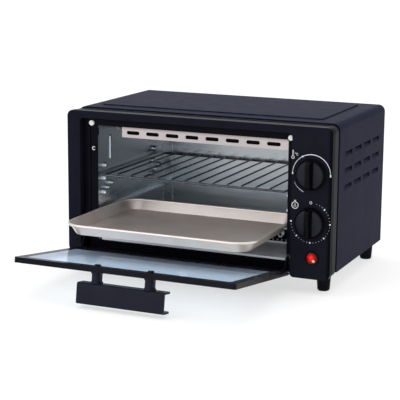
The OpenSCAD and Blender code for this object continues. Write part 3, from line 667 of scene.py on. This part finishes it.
def temperature_scale(bm):
    """Arcs round the dial, and a thermometer with a degree ring and an open C."""
    for start, end, width0, width1, steps in TEMP_ARCS:
        arc_band(bm, DIAL_TEMP, TEMP_R, start, end, width0, width1, *INK, steps=steps)
    x, z = DIAL_TEMP[0] - 24.3, DIAL_TEMP[1] + 19.6
    tube_r, tube_top, line = 0.62, z + 8.2, 0.42
    ring_band(bm, (x, z), 1.7, 0.62, *INK)
    bar(bm, (x - tube_r, z + 1.85), (x - tube_r, tube_top), line, *INK)
    bar(bm, (x + tube_r, z + 1.85), (x + tube_r, tube_top), line, *INK)
    arc_band(bm, (x, tube_top), tube_r, 0, 180, line, line, *INK, steps=12)
    ring_band(bm, (x + 3.5, z + 5.0), 0.55, 0.3, *INK, steps=20)
    arc_band(bm, (x + 5.9, z + 3.9), 1.25, 55, 305, 0.4, 0.4, *INK, steps=20)


def time_scale(bm):
    """An off ring at the top, fine dots, a larger mark each eighth of a turn, and a stopwatch."""
    ring_band(bm, at_angle(DIAL_TIME, TIME_R, 90), 1.45, 0.55, *INK, steps=28)
    for i in range(2, TIME_MARKS * TIME_STEPS_PER_MARK + 1):
        degrees = 90 - i * TIME_MARK_DEGREES / TIME_STEPS_PER_MARK
        if i % TIME_STEPS_PER_MARK:
            dot(bm, at_angle(DIAL_TIME, TIME_R, degrees), 0.36, *INK, steps=12)
        else:
            inner = at_angle(DIAL_TIME, TIME_R - 1.0, degrees)
            outer = at_angle(DIAL_TIME, TIME_R + 1.0, degrees)
            bar(bm, inner, outer, 1.7, *INK)
    x, z = DIAL_TIME[0] - 20.4, DIAL_TIME[1] + 20.4
    ring_band(bm, (x, z), 4.1, 0.85, *INK)
    for start, end, width in WATCH_STROKES:
        bar(bm, (x + start[0], z + start[1]), (x + end[0], z + end[1]), width, *INK)


def printed_scales():
    """Everything printed on the control panel, as one thin piece."""
    bm = bmesh.new()
    temperature_scale(bm)
    time_scale(bm)
    add_piece("printed_scales", bm, "ink", "cabinet", smooth=False)


printed_scales()


# profiles from the dial's axis outwards: radius, and height in front of the bezel, in mm
RIM_PROFILE = (
    (0.0, 0.6), (19.2, 0.6), (19.5, 0.9), (19.5, 2.6), (19.2, 3.0), (18.9, 3.1), (18.7, 4.0),
    (18.5, 7.2), (18.2, 7.8), (17.9, 8.0), (17.6, 7.8), (17.4, 7.2), (17.3, 6.6), (0.0, 6.6),
)
DISC_PROFILE = (
    (0.0, 6.5), (16.8, 6.5), (17.0, 6.9), (16.7, 7.3), (11.0, 7.7), (5.0, 7.9), (0.0, 7.95),
)
KNOB_SEGMENTS = 128

# the grip bar: half widths at foot and top, half length, heights in front of the bezel
GRIP_FOOT, GRIP_TOP = 4.5, 2.5
GRIP_HALF_LENGTH = 17.9
GRIP_ROOT, GRIP_SHOULDER, GRIP_BASE = 6.8, 8.6, 8.2
GRIP_RISE = 10.3
# where its cross-sections stand along its half length
GRIP_STATIONS = (-1.0, -0.985, -0.93, -0.8, -0.4, 0.0, 0.4, 0.7, 0.8, 0.86, 0.93, 0.985, 1.0)


def grip_section(bm, centre, t):
    """One cross-section: lower at the bar's ends, with the pointer's notch near the upper end."""
    edge = max(0.0, 1.0 - abs(t) ** 14)
    crown = PANEL_Y - GRIP_BASE - GRIP_RISE * (0.35 + 0.65 * edge)
    notch = 0.9 if 0.75 < t < 0.95 else 0.0
    root, shoulder = PANEL_Y - GRIP_ROOT, PANEL_Y - GRIP_SHOULDER
    waist = ((GRIP_FOOT + GRIP_TOP) / 2, (crown + shoulder) / 2)
    ring = [
        (-GRIP_FOOT, root), (-GRIP_FOOT, shoulder), (-waist[0], waist[1]),
        (-GRIP_TOP, crown + 0.8), (-GRIP_TOP + 0.7, crown + notch), (0.0, crown + notch * 1.6),
        (GRIP_TOP - 0.7, crown + notch), (GRIP_TOP, crown + 0.8),
        waist, (GRIP_FOOT, shoulder), (GRIP_FOOT, root),
    ]
    z = centre[1] + t * GRIP_HALF_LENGTH
    return [bm.verts.new(((centre[0] + x) * MM, y * MM, z * MM)) for x, y in ring]


def knob(prefix, centre, body, node):
    """A dial: stepped rim, satin disc and a raised grip with sloped sides."""
    axis = (centre[0] * MM, centre[1] * MM)
    bm = bmesh.new()
    lathe(bm, [(r, PANEL_Y - out) for r, out in RIM_PROFILE], axis, KNOB_SEGMENTS)
    rim = add_piece(prefix + "_rim", bm, "knob_rim", body)
    rim.modifiers.new("shade", "WEIGHTED_NORMAL").keep_sharp = False
    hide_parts(node)

    bm = bmesh.new()
    lathe(bm, [(r, PANEL_Y - out) for r, out in DISC_PROFILE], axis, KNOB_SEGMENTS)
    add_piece(prefix + "_disc", bm, "knob_face", body)

    bm = bmesh.new()
    sections = [grip_section(bm, centre, t) for t in GRIP_STATIONS]
    skin(bm, sections)
    bm.faces.new(sections[0][::-1])
    bm.faces.new(sections[-1])
    add_piece(prefix + "_grip", bm, "knob_grip", body, bevel_mm=0.45)


knob("thermostat_dial", DIAL_TEMP, "thermostat_dial", "thermostat_knob")
knob("timer_dial", DIAL_TIME, "timer_dial", "timer_knob")


def lamp_ring():
    """Black surround of the pilot lamp; it covers the rim of the lens."""
    low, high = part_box("lamp_lens")
    centre = ((low.x + high.x) / 2, (low.z + high.z) / 2)
    outer = (high.x - low.x) / 2 / MM + 0.35
    inner = 6.7
    profile = [
        (inner, PANEL_Y - 1.1), (inner, PANEL_Y - 1.5), (inner + 0.3, PANEL_Y - 1.75),
        (outer - 0.6, PANEL_Y - 1.6), (outer, PANEL_Y - 0.9), (outer, PANEL_Y + 0.05),
    ]
    bm = bmesh.new()
    lathe(bm, profile, centre, 72)
    add_piece("lamp_ring", bm, "knob_rim", "cabinet")


lamp_ring()


# the door's own axes: x, depth from the hinge axis, and distance from it along the door
HINGE = next(joint for joint in frame["joints"] if joint["name"] == "door_hinge")
DOOR = Matrix.Translation((0, HINGE["pos_m"][1], HINGE["pos_m"][2])) @ Matrix.Rotation(
    math.radians(HINGE["range_deg"][1]), 4, "X"
)
DOOR_FACE = -3.8
FINGER_GAP = 14.0
POST_S = 166.5
POST_W, POST_L = 11.0, 15.0
POST_STEPS = 16
# a collar's rings: distance from the face it stands on, growth over the post
COLLAR_RINGS = ((-0.05, 1.25), (0.9, 1.25), (1.5, 1.05), (2.3, 0.45), (3.2, 0.02))


def stadium(bm, centre_x, y, grow):
    """One ring of a post's outline, on the door's axes, in mm."""
    ring = []
    for side, start in ((1, 0), (-1, 180)):
        for i in range(POST_STEPS + 1):
            a = math.radians(start + 180 * i / POST_STEPS)
            x = centre_x + (POST_W / 2 + grow) * math.cos(a)
            s = POST_S + side * (POST_L - POST_W) / 2 + (POST_W / 2 + grow) * math.sin(a)
            ring.append(bm.verts.new(DOOR @ Vector((x * MM, y * MM, s * MM))))
    return ring


def post_collars():
    """Flared collars where the handle's posts meet the door and the bar."""
    low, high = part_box("handle_posts")
    half_pitch = (high.x - low.x) / 2 / MM - POST_W / 2
    middle = (high.x + low.x) / 2 / MM
    bar_face = DOOR_FACE - FINGER_GAP
    bm = bmesh.new()
    for x in (middle - half_pitch, middle + half_pitch):
        for start, toward in ((DOOR_FACE, -1), (bar_face, 1)):
            rows = [stadium(bm, x, start + toward * out, grow) for out, grow in COLLAR_RINGS]
            skin(bm, rows)
            bm.faces.new(rows[0])
            bm.faces.new(rows[-1])
    add_piece("post_collars", bm, "handle_plastic", "door", bevel_mm=0.2)


post_collars()


def catch_hook():
    """A small hook bent from strip, on a black plate."""
    low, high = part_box("door_catch")
    x, z = (low.x + high.x) / 2 / MM, (low.z + high.z) / 2 / MM
    back = high.y / MM
    bm = bmesh.new()
    arc_band(bm, (x, z), 2.1, 35, 325, 0.9, 0.9, back - 2.2, back - 0.6, steps=28)
    hook = add_piece("catch_hook", bm, "bright_steel", "cabinet", bevel_mm=0.15)
    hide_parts("door_catch")
    bm = bmesh.new()
    bar(bm, (x, z - 5.5), (x, z + 5.5), 4.4, back - 0.7, back - 0.02)
    add_piece(
        "catch_plate", bm, "chassis_paint", "cabinet", smooth=False, bevel_mm=0.25
    )


catch_hook()


def rear_seams():
    """Folded edges and spot welds where the left wall's flange meets the rear wall, in a lighter
    steel that paints their highlights.
    """
    low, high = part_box("cavity_rear_wall")
    wall_y = low.y / MM
    left = low.x / MM
    bottom, top = low.z / MM + 6, high.z / MM - 20
    flange_w = 15.0
    weld_pitch = 9.0
    weld_r = 0.9
    back = wall_y - 0.75
    bm = bmesh.new()
    for x in (left + 0.9, left + flange_w):
        bar(bm, (x, bottom), (x, top), 0.8, wall_y - 1.5, back)
        for i in range(int((top - bottom) / weld_pitch)):
            weld = (x - 1.1, bottom + (i + 0.5) * weld_pitch)
            dot(bm, weld, weld_r, wall_y - 1.25, back, steps=14)
    add_piece("rear_seams", bm, "highlit_seam_steel", "cabinet", smooth=False, bevel_mm=0.15)


rear_seams()


SCREW_HEAD_R, SCREW_HEAD_H = 3.4, 1.9
SCREW_SHANK_R, SCREW_SHANK_L = 1.5, 9
SCREW_RINGS = 9
SCREW_SEGMENTS = 48


def screw_ring(r):
    """Points of one ring of a screw, as (x, y) in mm about its axis."""
    angles = [math.tau * i / SCREW_SEGMENTS for i in range(SCREW_SEGMENTS)]
    return [(r * math.cos(a), r * math.sin(a)) for a in angles]


def crown_height(x, y, r):
    """Height of the domed head at a point, sunk where the cross recess lies."""
    narrow, wide = sorted((abs(x), abs(y)))
    recess = narrow < SCREW_HEAD_R * 0.13 and wide < SCREW_HEAD_R * 0.58
    dome = SCREW_HEAD_H * (1 - 0.22 * (r / SCREW_HEAD_R) ** 2)
    return dome - (SCREW_HEAD_H * 0.55 if recess else 0.0)


def screw(bm, seat):
    """A pan-head screw with a cross recess; in seat's axes the head rests on z = 0."""

    def add(x, y, z):
        return bm.verts.new(seat @ Vector((x * MM, y * MM, z * MM)))

    rows = []
    for j in range(1, SCREW_RINGS + 1):
        r = SCREW_HEAD_R * 0.96 * j / SCREW_RINGS
        rows.append([add(x, y, crown_height(x, y, r)) for x, y in screw_ring(r)])
    top = add(0, 0, SCREW_HEAD_H * 0.42)
    for i in range(SCREW_SEGMENTS):
        bm.faces.new((top, rows[0][i], rows[0][(i + 1) % SCREW_SEGMENTS]))
    for r, z in (
        (SCREW_HEAD_R, SCREW_HEAD_H * 0.66),
        (SCREW_HEAD_R, 0.0),
        (SCREW_SHANK_R, 0.0),
        (SCREW_SHANK_R, -SCREW_SHANK_L),
    ):
        rows.append([add(x, y, z) for x, y in screw_ring(r)])
    for a, b in zip(rows, rows[1:]):
        for i in range(SCREW_SEGMENTS):
            k = (i + 1) % SCREW_SEGMENTS
            bm.faces.new((a[i], b[i], b[k], a[k]))
    bm.faces.new(rows[-1][::-1])


def back_screw_set():
    """The screws that hold the back panel: three along the top and two down each side."""
    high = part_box("back_screws")[1]
    case_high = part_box("outer_case")[1]
    emboss_h, top_inset = 1.2, 6
    seat_y = high.y / MM - SCREW_HEAD_H
    side_x = high.x / MM - SCREW_HEAD_R
    places = [(x, case_high.z / MM - emboss_h - top_inset) for x in (-120, 0, 120)]
    places += [(x, z) for x in (-side_x, side_x) for z in (60, 150)]
    turn = Matrix.Rotation(math.radians(-90), 4, "X")
    bm = bmesh.new()
    for x, z in places:
        screw(bm, Matrix.Translation((x * MM, seat_y * MM, z * MM)) @ turn)
    piece = add_piece("back_screw_set", bm, "bright_steel", "cabinet", smooth=False)
    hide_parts("back_screws")


back_screw_set()


# ---------------------------------------------------------------- floor, light and camera


def floor_material():
    """White paper, lit from behind enough to stay white under the oven."""
    s = Surface("floor_paper", specular=0.1)
    s.colour(s.ramp(s.noise((3, 3, 3), 3), [(0.3, (0.40, 0.40, 0.40)), (0.7, (0.42, 0.42, 0.42))]))
    s.bsdf.inputs["Emission Color"].default_value = (1.0, 1.0, 1.0, 1.0)
    s.bsdf.inputs["Emission Strength"].default_value = 0.60
    s.roughness(s.spread(s.noise((200, 200, 200), 2), 0.85, 0.95))
    return s.mat


FLOOR_HALF = 6.0
floor_mesh = bpy.data.meshes.new("floor")
floor_mesh.from_pydata(
    [(FLOOR_HALF * x, FLOOR_HALF * y, 0) for x, y in ((-1, -1), (1, -1), (1, 1), (-1, 1))],
    [],
    [(0, 1, 2, 3)],
)
floor = bpy.data.objects.new("floor", floor_mesh)
floor.data.materials.append(floor_material())
bpy.context.scene.collection.objects.link(floor)


def area_light(name, location, target, size, energy):
    """A rectangle of light that faces its target; metres and watts."""
    data = bpy.data.lights.new(name, "AREA")
    data.shape = "RECTANGLE"
    data.size, data.size_y = size
    data.energy = energy
    obj = bpy.data.objects.new(name, data)
    obj.location = location
    obj.rotation_euler = (Vector(target) - Vector(location)).to_track_quat("-Z", "Y").to_euler()
    bpy.context.scene.collection.objects.link(obj)


area_light("overhead", (-0.2, -0.1, 1.9), (0, 0, 0.1), (2.4, 1.8), 13)
area_light("front_left", (-1.5, -1.7, 1.2), (0, 0, 0.1), (1.2, 1.2), 9)
area_light("right_side", (2.0, 0.2, 0.9), (0.1, 0, 0.1), (1.0, 1.6), 4)
area_light("front_fill", (-0.25, -1.9, 0.33), (0, 0, 0.08), (1.5, 0.5), 4.5)

world = bpy.data.worlds.new("studio")
bpy.context.scene.world = world
world.use_nodes = True
wt = world.node_tree
wt.nodes.clear()
world_out = wt.nodes.new("ShaderNodeOutputWorld")


def world_light(colour, strength):
    """An even background of one colour."""
    node = wt.nodes.new("ShaderNodeBackground")
    node.inputs["Color"].default_value = (*colour, 1.0)
    node.inputs["Strength"].default_value = strength
    return node.outputs["Background"]


# white backdrop and fill, with a dimmer room for the reflections
mirrored = wt.nodes.new("ShaderNodeMixShader")
seen = wt.nodes.new("ShaderNodeLightPath")
wt.links.new(seen.outputs["Is Glossy Ray"], mirrored.inputs["Fac"])
wt.links.new(world_light((0.98, 0.985, 1.0), 1.0), mirrored.inputs[1])
wt.links.new(world_light((0.90, 0.93, 1.0), 0.9), mirrored.inputs[2])
wt.links.new(mirrored.outputs["Shader"], world_out.inputs["Surface"])

bpy.context.scene.view_settings.view_transform = "Standard"


def make_camera(location, azimuth, pitch, roll, lens):
    """azimuth turns the view to the left of +Y, pitch tips it down; degrees, and lens in mm."""
    a, e, r = (math.radians(v) for v in (azimuth, pitch, roll))
    forward = Vector((-math.sin(a) * math.cos(e), math.cos(a) * math.cos(e), -math.sin(e)))
    side = Vector((math.cos(a), math.sin(a), 0))
    up = side.cross(forward)
    right = side * math.cos(r) + up * math.sin(r)
    top = up * math.cos(r) - side * math.sin(r)
    data = bpy.data.cameras.new("camera")
    data.lens = lens
    data.sensor_width = 36.0
    data.clip_end = 30.0
    obj = bpy.data.objects.new("camera", data)
    obj.matrix_world = Matrix(
        [
            (right.x, top.x, -forward.x, location[0]),
            (right.y, top.y, -forward.y, location[1]),
            (right.z, top.z, -forward.z, location[2]),
            (0, 0, 0, 1),
        ]
    )
    bpy.context.scene.collection.objects.link(obj)
    bpy.context.scene.camera = obj


make_camera(
    location=(0.6800, -1.6336, 0.4552), azimuth=23.827, pitch=11.841, roll=0.425, lens=120.77
)
